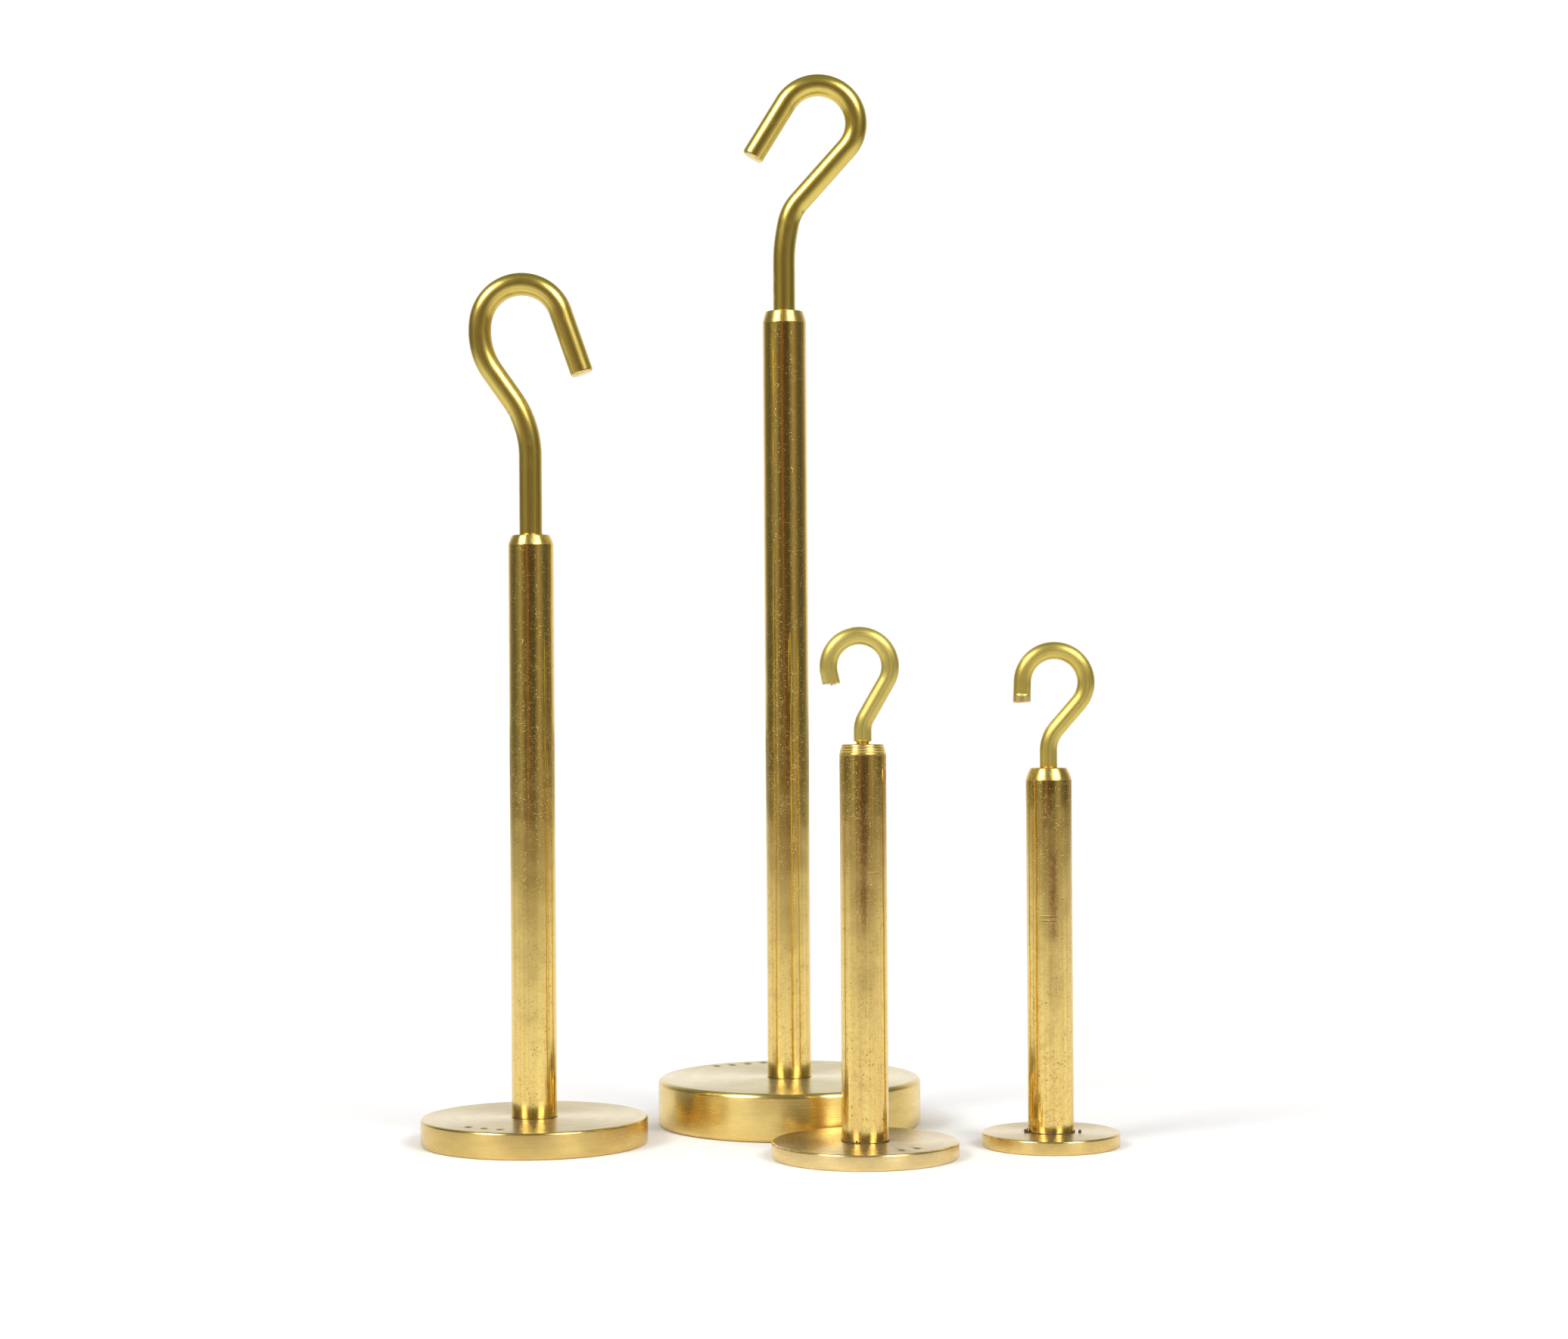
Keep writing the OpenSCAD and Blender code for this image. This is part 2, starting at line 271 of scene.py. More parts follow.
def makeDiscBrass(finish, size):
    material, tree, shader = startMaterial("turnedBrass_" + size, finish[size]["rim"], finish["rough"])
    laid = addNode(tree, "ShaderNodeTexCoord").outputs
    place = laid["Object"]
    facing = addNode(tree, "ShaderNodeSeparateXYZ", i0=laid["Normal"]).outputs[2]
    # faces turned upward blend to the paler top colour over the rounded edge, a painted reflection of the
    # bright backdrop
    upward = ramp(tree, facing, [(0.55, 0.0), (0.98, 1.0)])
    tone = mixColour(tree, upward, (*finish[size]["rim"], 1), (*finish[size]["top"], 1))
    lines = useGroup(tree, turnedLines, Position=place, Spacing=finish["lineSpacing"], Wander=2.2)
    pits = useGroup(tree, finePits, Position=place, Spacing=1.4 * mm, Size=0.09, Share=0.35)
    hairs = useGroup(tree, hairScratches, Position=place, Spacing=2.6 * mm, Share=0.25)
    clouds = useGroup(tree, tarnish, Position=place, Patch=9 * mm, Amount=0.35)
    tone = mixColour(tree, maths(tree, "MULTIPLY", clouds[0], 0.22), tone, (*finish["brown"], 1))
    tone = mixColour(tree, maths(tree, "MULTIPLY", pits[0], 0.6), tone, (*finish["pitDark"], 1))
    streaks = ramp(tree, lines["Bands"], [(0.3, 0.86), (0.7, 1.0)])
    tone = mixColour(tree, 1.0, tone, streaks, "MULTIPLY")
    spot = vectorMaths(tree, "SUBTRACT", place, (*finish["scuffs"][size], 0))
    away = vectorMaths(tree, "LENGTH", spot, result="Value")
    near = ramp(tree, maths(tree, "DIVIDE", away, finish["scuffReach"]), [(0.45, 1.0), (1.0, 0.0)])
    strokes = useGroup(tree, hairScratches, Position=place, Spacing=1.1 * mm, Share=0.9)
    rubbed = maths(tree, "MULTIPLY", maths(tree, "MULTIPLY", near, strokes[0]), upward)
    tone = mixColour(tree, maths(tree, "MULTIPLY", rubbed, 0.6), tone, (*finish["scuffDark"], 1))
    tree.links.new(tone, shader.inputs["Base Color"])
    rough = addNode(tree, "ShaderNodeMapRange", Value=lines["Lines"], To_Min=finish["rough"],
                    To_Max=finish["rough"] + finish["roughSpread"]).outputs[0]
    tree.links.new(rough, shader.inputs["Roughness"])
    shader.inputs["Anisotropic"].default_value = 0.75
    shader.inputs["Anisotropic Rotation"].default_value = 0.25
    grain = addNode(tree, "ShaderNodeTangent", {"direction_type": "RADIAL", "axis": "Z"}).outputs[0]
    tree.links.new(grain, shader.inputs["Tangent"])
    normal = bump(tree, lines["Lines"], finish["lineDepth"])
    normal = bump(tree, hairs[0], 0.002 * mm, under=normal)
    normal = bump(tree, maths(tree, "SUBTRACT", 1.0, pits[0]), 0.02 * mm, under=normal)
    tree.links.new(normal, shader.inputs["Normal"])
    return material


# ---- stem brass

# length of the turned end of each stem, and of the small edge below it, in mm
taperLong = {"100g": 1.76, "50g": 1.43, "25g": 1.4, "20g": 1.68}
taperEdge = 0.08

stemFinish = {
    "colour": (0.93, 0.71, 0.23), "brown": (0.50, 0.27, 0.10), "streak": (0.70, 0.44, 0.16),
    "red": (0.48, 0.19, 0.09), "speckDark": (0.30, 0.17, 0.06),
    "rough": 0.1, "roughSpread": 0.34, "streakDepth": 0.004 * mm, "waveDepth": 0.08 * mm, "turnedRough": 0.3,
    # how strongly the long brown streaks show on each stem
    "streaks": {"100g": 0.4, "50g": 0.35, "25g": 0.6, "20g": 0.45},
    # red brown stain on the front: distance right of the middle, lowest and highest point
    "stains": {"25g": (-0.1 * mm, 30 * mm, 52 * mm), "20g": (0.35 * mm, 28 * mm, 41 * mm)},
    "stainWide": 0.65 * mm, "edgeDirt": {"100g": 0.25, "50g": 0.25, "25g": 0.4, "20g": 0.6},
}


def stainMask(tree, raw, finish, size):
    aside, low, high = finish["stains"][size]
    away = maths(tree, "ABSOLUTE", maths(tree, "SUBTRACT", raw[0], aside))
    away = maths(tree, "DIVIDE", away, finish["stainWide"])
    rise = maths(tree, "DIVIDE", maths(tree, "SUBTRACT", raw[2], low), high - low)
    drawn = maths(tree, "MULTIPLY", raw[2], 0.35)
    spot = addNode(tree, "ShaderNodeCombineXYZ", i0=raw[0], i1=raw[1], i2=drawn).outputs[0]
    frayed = addNode(tree, "ShaderNodeTexNoise", i0=spot, Scale=4200.0, Detail=4.0, Roughness=0.8)
    frayed = maths(tree, "MULTIPLY", maths(tree, "SUBTRACT", frayed.outputs["Fac"], 0.5), 5.0)
    near = ramp(tree, maths(tree, "ADD", away, frayed), [(0.3, 1.0), (0.8, 0.0)])
    tall = ramp(tree, maths(tree, "ADD", rise, maths(tree, "MULTIPLY", frayed, 0.1)),
                [(0.0, 0.0), (0.1, 1.0), (0.9, 1.0), (1.0, 0.0)])
    front = maths(tree, "LESS_THAN", raw[1], 0.0)
    return maths(tree, "MULTIPLY", maths(tree, "MULTIPLY", near, tall), front)


def makeStemBrass(finish, size):
    material, tree, shader = startMaterial("polishedBrass_" + size, finish["colour"], finish["rough"])
    held = addNode(tree, "ShaderNodeTexCoord").outputs["Object"]
    raw = addNode(tree, "ShaderNodeSeparateXYZ", i0=held).outputs
    shift = sizes.index(size) * 37 * mm
    place = vectorMaths(tree, "ADD", held, (0, 0, shift))
    lines = useGroup(tree, drawnLines, Position=place, Fineness=3200.0, Stretch=60.0)
    pits = useGroup(tree, finePits, Position=place, Spacing=0.2 * mm, Size=0.42, Share=0.5)
    specks = useGroup(tree, finePits, Position=place, Spacing=0.5 * mm, Size=0.34, Share=0.6)
    grime = useGroup(tree, tarnish, Position=place, Patch=0.55 * mm, Amount=0.6)
    hairs = useGroup(tree, hairScratches, Position=place, Spacing=1.3 * mm, Share=0.55)
    clouds = useGroup(tree, tarnish, Position=place, Patch=2.0 * mm, Amount=0.55)
    worn = ramp(tree, lines["Streaks"], [(0.38, 1.0), (0.58, 0.0)])
    tone = mixColour(tree, maths(tree, "MULTIPLY", worn, finish["streaks"][size]), (*finish["colour"], 1),
                     (*finish["streak"], 1))
    tone = mixColour(tree, maths(tree, "MULTIPLY", clouds[0], 0.22), tone, (*finish["brown"], 1))
    # specks and a brown skin gather low on the stem
    lowDown = ramp(tree, maths(tree, "DIVIDE", raw[2], 40 * mm), [(0.1, 1.0), (0.9, 0.35)])
    dirty = maths(tree, "MULTIPLY", specks[0], lowDown)
    dirty = maths(tree, "MULTIPLY", dirty, finish["edgeDirt"][size] + 0.5, clamp=True)
    tone = mixColour(tree, dirty, tone, (*finish["speckDark"], 1))
    skin = maths(tree, "MULTIPLY", maths(tree, "MULTIPLY", grime[0], lowDown), finish["edgeDirt"][size])
    tone = mixColour(tree, skin, tone, (*finish["brown"], 1))
    if size in finish["stains"]:
        stain = maths(tree, "MULTIPLY", stainMask(tree, raw, finish, size), 0.6)
        tone = mixColour(tree, stain, tone, (*finish["red"], 1))
    tree.links.new(tone, shader.inputs["Base Color"])
    # the turned end is rougher than the drawn bar
    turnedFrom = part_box("stem_" + size)[1].z - (taperLong[size] + taperEdge) * mm
    turned = maths(tree, "DIVIDE", maths(tree, "SUBTRACT", raw[2], turnedFrom), 0.15 * mm, clamp=True)
    blur = maths(tree, "ADD", maths(tree, "MULTIPLY", pits[0], 1.3), maths(tree, "MULTIPLY", hairs[0], 0.3))
    blur = maths(tree, "ADD", blur, maths(tree, "MULTIPLY", clouds[0], 0.15))
    blur = maths(tree, "ADD", blur, maths(tree, "MULTIPLY", specks[0], 0.5), clamp=True)
    rough = addNode(tree, "ShaderNodeMapRange", Value=blur, To_Min=finish["rough"],
                    To_Max=finish["rough"] + finish["roughSpread"]).outputs[0]
    rough = maths(tree, "MAXIMUM", rough, maths(tree, "MULTIPLY", turned, finish["turnedRough"]))
    tree.links.new(rough, shader.inputs["Roughness"])
    shader.inputs["Anisotropic"].default_value = 0.7
    shader.inputs["Anisotropic Rotation"].default_value = 0.25
    grain = addNode(tree, "ShaderNodeTangent", {"direction_type": "RADIAL", "axis": "Z"}).outputs[0]
    tree.links.new(grain, shader.inputs["Tangent"])
    normal = bump(tree, lines["Lines"], finish["streakDepth"])
    normal = bump(tree, lines["Streaks"], finish["streakDepth"], under=normal)
    normal = bump(tree, lines["Waves"], finish["waveDepth"], under=normal)
    normal = bump(tree, maths(tree, "SUBTRACT", 1.0, pits[0]), 0.008 * mm, under=normal)
    normal = bump(tree, hairs[0], 0.003 * mm, under=normal)
    rings = addNode(tree, "ShaderNodeTexNoise", {"noise_dimensions": "1D"},
                    W=raw[2], Scale=14000.0, Detail=2.0).outputs["Fac"]
    ringed = maths(tree, "MULTIPLY", rings, turned)
    normal = bump(tree, ringed, 0.02 * mm, under=normal)
    tree.links.new(normal, shader.inputs["Normal"])
    return material


# ---- wire brass

wireFinish = {
    "100g": {"colour": (0.86, 0.67, 0.16), "rough": 0.28},
    "50g": {"colour": (0.82, 0.63, 0.16), "rough": 0.29},
    "25g": {"colour": (0.82, 0.67, 0.20), "rough": 0.45},
    "20g": {"colour": (0.80, 0.64, 0.17), "rough": 0.42},
    "brown": (0.44, 0.31, 0.07), "roughSpread": 0.1, "lineDepth": 0.00016 * mm,
}


def makeWireBrass(finish, size):
    colour, rough = finish[size]["colour"], finish[size]["rough"]
    material, tree, shader = startMaterial("drawnBrass_" + size, colour, rough)
    laid = addNode(tree, "ShaderNodeUVMap", {"uv_map": "wire"}).outputs[0]
    parts = addNode(tree, "ShaderNodeSeparateXYZ", i0=laid).outputs
    turn = maths(tree, "MULTIPLY", parts[0], 2 * math.pi)
    around = [maths(tree, "MULTIPLY", maths(tree, rule, turn), 1.5 * mm) for rule in ("COSINE", "SINE")]
    place = addNode(tree, "ShaderNodeCombineXYZ", i0=around[0], i1=around[1], i2=parts[1]).outputs[0]
    lines = useGroup(tree, drawnLines, Position=place, Fineness=5200.0, Stretch=110.0)
    pits = useGroup(tree, finePits, Position=place, Spacing=0.3 * mm, Size=0.2, Share=0.25)
    hairs = useGroup(tree, hairScratches, Position=place, Spacing=1.2 * mm, Share=0.3)
    clouds = useGroup(tree, tarnish, Position=place, Patch=2.0 * mm, Amount=0.5)
    tone = mixColour(tree, maths(tree, "MULTIPLY", clouds[0], 0.3), (*colour, 1), (*finish["brown"], 1))
    streaks = ramp(tree, lines["Streaks"], [(0.35, 0.72), (0.6, 1.0)])
    tone = mixColour(tree, 1.0, tone, streaks, "MULTIPLY")
    tone = mixColour(tree, maths(tree, "MULTIPLY", pits[0], 0.3), tone, (0.2, 0.13, 0.04, 1))
    tree.links.new(tone, shader.inputs["Base Color"])
    blur = addNode(tree, "ShaderNodeMapRange", Value=clouds[0], To_Min=rough,
                   To_Max=rough + finish["roughSpread"]).outputs[0]
    tree.links.new(blur, shader.inputs["Roughness"])
    shader.inputs["Anisotropic"].default_value = 0.4
    grain = addNode(tree, "ShaderNodeTangent", {"direction_type": "UV_MAP", "uv_map": "wire"}).outputs[0]
    tree.links.new(grain, shader.inputs["Tangent"])
    normal = bump(tree, lines["Lines"], finish["lineDepth"])
    normal = bump(tree, lines["Waves"], 0.02 * mm, under=normal)
    normal = bump(tree, hairs[0], 0.0003 * mm, under=normal)
    tree.links.new(normal, shader.inputs["Normal"])
    return material


# ---- fresh brass where a wire was cut or filed

cutFinish = {
    "colour": (0.92, 0.72, 0.32), "brown": (0.62, 0.36, 0.12),
    "plainRough": 0.36, "smooth": 0.3, "rough": 0.5,
}


def makeCutBrass(finish):
    material, tree, shader = startMaterial("cutBrass", finish["colour"], finish["plainRough"])
    place = addNode(tree, "ShaderNodeTexCoord").outputs["Object"]
    lines = useGroup(tree, drawnLines, Position=place, Fineness=5200.0, Stretch=1500.0)
    hairs = useGroup(tree, hairScratches, Position=place, Spacing=0.5 * mm, Share=0.7)
    clouds = useGroup(tree, tarnish, Position=place, Patch=0.5 * mm, Amount=0.5)
    stained = maths(tree, "MULTIPLY", clouds[0], 0.5)
    tone = mixColour(tree, stained, (*finish["colour"], 1), (*finish["brown"], 1))
    tree.links.new(tone, shader.inputs["Base Color"])
    rough = addNode(tree, "ShaderNodeMapRange", Value=clouds[0], To_Min=finish["smooth"],
                    To_Max=finish["rough"]).outputs[0]
    tree.links.new(rough, shader.inputs["Roughness"])
    normal = bump(tree, lines["Lines"], 0.012 * mm)
    tree.links.new(bump(tree, hairs[0], 0.008 * mm, under=normal), shader.inputs["Normal"])
    return material


# ---- screw brass and the dark seam ring

screwFinish = {"colour": (0.86, 0.66, 0.24), "brown": (0.40, 0.24, 0.09), "smooth": 0.25, "rough": 0.5}
darkSeamFinish = {
    "plain": (0.05, 0.03, 0.015), "plainRough": 0.6,
    "dark": (0.035, 0.022, 0.012), "brown": (0.24, 0.13, 0.05), "smooth": 0.35, "rough": 0.75,
}


def makeScrewBrass(finish):
    material, tree, shader = startMaterial("screwBrass", finish["colour"], finish["smooth"])
    place = addNode(tree, "ShaderNodeTexCoord").outputs["Object"]
    hairs = useGroup(tree, hairScratches, Position=place, Spacing=0.8 * mm, Share=0.5)
    clouds = useGroup(tree, tarnish, Position=place, Patch=1.5 * mm, Amount=0.6)
    stained = maths(tree, "MULTIPLY", clouds[0], 0.5)
    tone = mixColour(tree, stained, (*finish["colour"], 1), (*finish["brown"], 1))
    tree.links.new(tone, shader.inputs["Base Color"])
    rough = addNode(tree, "ShaderNodeMapRange", Value=clouds[0], To_Min=finish["smooth"],
                    To_Max=finish["rough"]).outputs[0]
    tree.links.new(rough, shader.inputs["Roughness"])
    tree.links.new(bump(tree, hairs[0], 0.004 * mm), shader.inputs["Normal"])
    return material


def makeDarkSeam(finish):
    material, tree, shader = startMaterial("darkSeam", finish["plain"], finish["plainRough"])
    shader.inputs["Metallic"].default_value = 0.0
    place = addNode(tree, "ShaderNodeTexCoord").outputs["Object"]
    clouds = useGroup(tree, tarnish, Position=place, Patch=0.35 * mm, Amount=0.7)
    tone = mixColour(tree, clouds[0], (*finish["dark"], 1), (*finish["brown"], 1))
    tree.links.new(tone, shader.inputs["Base Color"])
    rough = addNode(tree, "ShaderNodeMapRange", Value=clouds[0], To_Min=finish["smooth"],
                    To_Max=finish["rough"]).outputs[0]
    tree.links.new(rough, shader.inputs["Roughness"])
    tree.links.new(bump(tree, clouds[0], 0.03 * mm), shader.inputs["Normal"])
    return material


discBrass = {size: makeDiscBrass(discFinish, size) for size in sizes}
wireBrass = {size: makeWireBrass(wireFinish, size) for size in sizes}
cutBrass = makeCutBrass(cutFinish)
screwBrass = makeScrewBrass(screwFinish)
darkSeam = makeDarkSeam(darkSeamFinish)
stemBrass = {size: makeStemBrass(stemFinish, size) for size in sizes}
print("materials ready")


# ---- mesh tools

def makeObject(name, shape, place, material, crease=35):
    bmesh.ops.recalc_face_normals(shape, faces=shape.faces)
    mesh = bpy.data.meshes.new(name)
    shape.to_mesh(mesh)
    shape.free()
    mesh.polygons.foreach_set("use_smooth", [True] * len(mesh.polygons))
    mesh.set_sharp_from_angle(angle=math.radians(crease))
    mesh.materials.append(material)
    piece = bpy.data.objects.new(name, mesh)
    piece.location = place
    scene.collection.objects.link(piece)
    return piece


def lathe(outline, turns, ripple=None):
    # outline runs from the axis at the bottom to the axis at the top
    shape = bmesh.new()
    rings = []
    for radius, height in outline:
        if radius < 1e-7:
            rings.append([shape.verts.new((0, 0, height))])
            continue
        ring = []
        for step in range(turns):
            angle = 2 * math.pi * step / turns
            reach = radius + (ripple(radius, height, angle) if ripple else 0)
            ring.append(shape.verts.new((reach * math.cos(angle), reach * math.sin(angle), height)))
        rings.append(ring)
    for low, high in zip(rings, rings[1:]):
        for step in range(turns):
            after = (step + 1) % turns
            if len(low) == 1:
                shape.faces.new((low[0], high[step], high[after]))
            elif len(high) == 1:
                shape.faces.new((low[step], low[after], high[0]))
            else:
                shape.faces.new((low[step], low[after], high[after], high[step]))
    return shape


def arcPoints(centre, radius, start, end, steps):
    turns = [math.radians(start + (end - start) * i / steps) for i in range(steps + 1)]
    return [(centre[0] + radius * math.cos(turn), centre[1] + radius * math.sin(turn)) for turn in turns]


def middle(node):
    low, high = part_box(node)
    return (low + high) / 2, high - low


# ---- base discs

discs = {
    "100g": {"rim": 0.75, "dots": 4, "dotReach": 3.4, "dotSide": 118},
    "50g": {"rim": 0.35, "dots": 3, "dotReach": 3.2, "dotSide": -118},
    "25g": {"rim": 0.3, "dots": 2, "dotReach": 2.9, "dotSide": -55},
    "20g": {"rim": 0.28, "dots": 1, "dotReach": 2.6, "dotSide": 80},
    "dotSpacing": 2.6, "dotWidth": 1.4, "dotDepth": 0.34, "boreWidth": 3.1,
    "sinkWidth": 5.3, "sinkDepth": 1.2, "sinkInset": 0.2,
}


def makeDisc(size):
    setup = discs[size]
    centre, span = middle("base_" + size)
    radius, thick, rim = span.x / 2, span.z, setup["rim"] * mm
    bore, sink, inset = discs["boreWidth"] / 2 * mm, discs["sinkWidth"] / 2 * mm, discs["sinkInset"] * mm
    outline = [(bore, inset + discs["sinkDepth"] * mm), (sink, inset), (sink, 0), (radius * 0.5, 0)]
    outline += arcPoints((radius - rim, rim), rim, -90, 0, 8)
    outline += arcPoints((radius - rim, thick - rim), rim, 0, 90, 8)
    outline += [(radius * share, thick) for share in (0.75, 0.5, 0.3)] + [(bore, thick)]
    shape = lathe(outline, 256)
    inside = [edge for edge in shape.edges if edge.is_boundary]
    bmesh.ops.bridge_loops(shape, edges=inside)
    piece = makeObject("turned_disc_" + size, shape, (centre.x, centre.y, 0), discBrass[size])
    punchDots(piece, size, radius, thick)
    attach(piece, "hanger_" + size)
    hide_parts("base_" + size)
    return piece


def punchDots(piece, size, radius, thick):
    setup = discs[size]
    width, depth = discs["dotWidth"] / 2 * mm, discs["dotDepth"] * mm
    around = math.radians(setup["dotSide"])
    tools = bmesh.new()
    for i in range(setup["dots"]):
        side = (i - (setup["dots"] - 1) / 2) * discs["dotSpacing"] * mm
        reach = radius - setup["dotReach"] * mm
        spot = Matrix.Rotation(around, 4, "Z") @ Vector((reach, side, thick))
        punch = [(0, -depth), (0.12 * width, -0.97 * depth), (0.3 * width, -0.8 * depth),
                 (width, 0), (1.1 * width, 0.1 * depth), (1.1 * width, depth), (0, depth)]
        dot = lathe(punch, 40)
        dot.transform(Matrix.Translation(spot))
        held = bpy.data.meshes.new("punch")
        dot.to_mesh(held)
        dot.free()
        tools.from_mesh(held)
        bpy.data.meshes.remove(held)
    cutter = makeObject("punch", tools, piece.location, discBrass[size])
    cut = piece.modifiers.new("dots", "BOOLEAN")
    cut.object = cutter
    cut.solver = "EXACT"
    bpy.context.view_layer.update()
    result = bpy.data.meshes.new_from_object(piece.evaluated_get(bpy.context.evaluated_depsgraph_get()))
    piece.modifiers.clear()
    piece.data = result
    result.polygons.foreach_set("use_smooth", [True] * len(result.polygons))
    result.set_sharp_from_angle(angle=math.radians(35))
    bpy.data.objects.remove(cutter)


for size in sizes:
    makeDisc(size)
print("discs ready")


# ---- stems

stems = {
    "100g": {"taperIn": 0.46, "rings": 0, "bore": 1.53, "boreDeep": 6.86},
    "50g": {"taperIn": 0.52, "rings": 0, "bore": 1.53, "boreDeep": 6.86},
    "25g": {"taperIn": 0.34, "rings": 3, "bore": 1.13, "boreDeep": 5.58},
    "20g": {"taperIn": 0.64, "rings": 0, "bore": 1.13, "boreDeep": 5.58},
    "footBore": 1.43, "footDeep": 6.0, "chatter": 0.02, "ringStep": 0.34, "ringDeep": 0.07,
    "scratchDeep": 0.013,
    # scratches across the bar: how far below the top, and from where to where round it (front is -90)
    "scratches": {
        "100g": [(8.3, -200, 20), (31.0, -100, -62)], "50g": [(26.4, -130, -98)], "25g": [(17.2, -80, -50)],
        "20g": [(20.3, -125, -73), (20.9, -122, -76), (12.1, -70, -53), (17.9, -66, -52), (23.3, -72, -55)],
    },
}


def taperPoints(radius, top, size):
    # from the full bar up to the small end, with fine rings where the tool left them
    setup = stems[size]
    reach, length = setup["taperIn"] * mm, taperLong[size] * mm
    points = []
    for i in range(41):
        share = i / 40
        height = top - length * (1 - share) - taperEdge * mm
        inward = reach * share ** 1.5
        below = (top - 0.35 * mm - height) / (stems["ringStep"] * mm)
        if setup["rings"] and -0.3 < below < setup["rings"] - 0.6:
            inward += stems["ringDeep"] * mm * (0.5 + 0.5 * math.cos(2 * math.pi * below)) ** 2
        points.append((radius - inward, height))
    return points + [(radius - reach - 0.12 * mm, top)]


def makeStem(size):
    setup = stems[size]
    centre, span = middle("stem_" + size)
    low = centre.z - span.z / 2
    radius, top = span.x / 2, low + span.z
    foot, bore = stems["footBore"] * mm, setup["bore"] * mm
    start = sizes.index(size) * 11.3

    def scratched(height, angle):
        sunk = 0
        for below, first, last in stems["scratches"][size]:
            turn = math.remainder(angle - math.radians((first + last) / 2), 2 * math.pi)
            fade = math.radians((last - first) / 2) - abs(turn)
            if fade > 0 and abs(height - top + below * mm) < 0.01 * mm:
                sunk = stems["scratchDeep"] * mm * min(1, fade / 0.15)
        return -sunk

    def chatter(reach, height, angle):
        length = taperLong[size] * mm
        share = min(1, max(0, (height - top + length) / length))
        if share <= 0:
            return scratched(height, angle)
        if reach < radius * 0.7:
            return 0
        bumps = noise.noise(Vector((3 * math.cos(angle), 3 * math.sin(angle), start + height * 900)))
        return -abs(bumps) * stems["chatter"] * mm * math.sin(math.pi * min(1, share * 1.2)) ** 0.5

    outline = [(0, low + stems["footDeep"] * mm), (foot, low + stems["footDeep"] * mm), (foot, low),
               (radius - 0.1 * mm, low), (radius, low + 0.1 * mm)]
    body = int(span.z / (4 * mm))
    straight = top - taperLong[size] * mm - taperEdge * mm - low - 0.1 * mm
    levels = [low + 0.1 * mm + straight * i / body for i in range(1, body)]
    for below, _, _ in stems["scratches"][size]:
        levels += [top - below * mm + aside * mm for aside in (-0.2, -0.12, -0.07, 0, 0.07, 0.12, 0.2)]
    outline += [(radius, level) for level in sorted(levels)]
    outline += taperPoints(radius, top, size)
    outline += [(bore, top), (bore, top - setup["boreDeep"] * mm), (0, top - setup["boreDeep"] * mm)]
    shape = lathe(outline, 128, chatter)
    piece = makeObject("bar_stem_" + size, shape, (centre.x, centre.y, 0), stemBrass[size], 28)
    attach(piece, "hanger_" + size)
    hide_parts("stem_" + size)


for size in sizes:
    makeStem(size)
print("stems ready")


# ---- hooks

hooks = {
    "100g": {"wire": 3.18, "thread": 3.0, "turns": 9, "neck": 0.02, "foot": 7.1, "tip": 9.3, "end": "filed",
             "bends": [(24.5, 11, 1), (6.7, 31, 10.4), (5.56, -190, 0)],
             # dents: how far along from the stem, turn round the wire (front is -90), width, depth
             "dents": [(0.9, -150, 0.3, 0.05), (2.1, -158, 0.35, 0.06), (3.4, -148, 0.3, 0.05),
                       (4.9, -155, 0.4, 0.06), (15.9, -20, 0.6, 0.12), (16.8, -25, 0.4, 0.06)]},
    "50g": {"wire": 3.18, "thread": 3.0, "turns": 9, "neck": 0.02, "foot": 11.05, "tip": 9.25, "end": "filed",
            "bends": [(14.1, -35, 4.6), (9.9, 42, 0.3), (5.8, 154, 0)],
            "dents": [(17.5, -165, 0.45, 0.12), (18.3, -150, 0.3, 0.05)]},
    "25g": {"wire": 2.38, "thread": 2.2, "turns": 7, "neck": 0.42, "foot": 1.5, "tip": 1.75, "end": "pinched",
            "bends": [(3.5, 30, 5.5), (4.18, -222, 0)], "dents": [(3.2, -35, 0.25, 0.1)]},
    "20g": {"wire": 2.38, "thread": 2.2, "turns": 7, "neck": 0.02, "foot": 2.3, "tip": 2.9, "end": "sheared",
            "bends": [(4.75, 41, 4.6), (4.4, -219, 0)],
            "dents": [(28.35, -75, 0.12, 0.08), (28.45, -120, 0.12, 0.08)]},
    "pitch": 0.64, "step": 0.11, "around": 56,
    # length of bright cut metal at the tip, and the ragged edge left by the pliers
    "cutLong": {"filed": 0.3, "pinched": 0.4, "sheared": 1.1},
    "tornEdge": [(-1.2, -0.12), (-1.0, -0.05), (-0.78, -0.27), (-0.48, 0.0), (0.1, -0.2), (0.6, -0.36),
                 (1.2, -0.66)],
}


def wirePath(setup):
    # points (x, z), heading from the vertical and length along the wire, from the top of the stem
    x, z, heading, along = 0.0, setup["neck"], 0.0, 0.0
    path = [(x, z, heading, along)]

    def straight(length):
        nonlocal x, z, along
        steps = max(1, round(length / hooks["step"] / 2))
        for _ in range(steps):
            x += math.sin(heading) * length / steps
            z += math.cos(heading) * length / steps
            along += length / steps
            path.append((x, z, heading, along))

    straight(setup["foot"])
    for radius, angle, after in setup["bends"]:
        side = math.copysign(1, angle)
        steps = max(2, round(abs(math.radians(angle)) * radius / hooks["step"]))
        for _ in range(steps):
            turn = math.radians(angle) / steps
            cx, cz = x + side * radius * math.cos(heading), z - side * radius * math.sin(heading)
            heading += turn
            x, z = cx - side * radius * math.cos(heading), cz + side * radius * math.sin(heading)
            along += radius * abs(turn)
            path.append((x, z, heading, along))
        if after:
            straight(after)
    straight(setup["tip"])
    return path


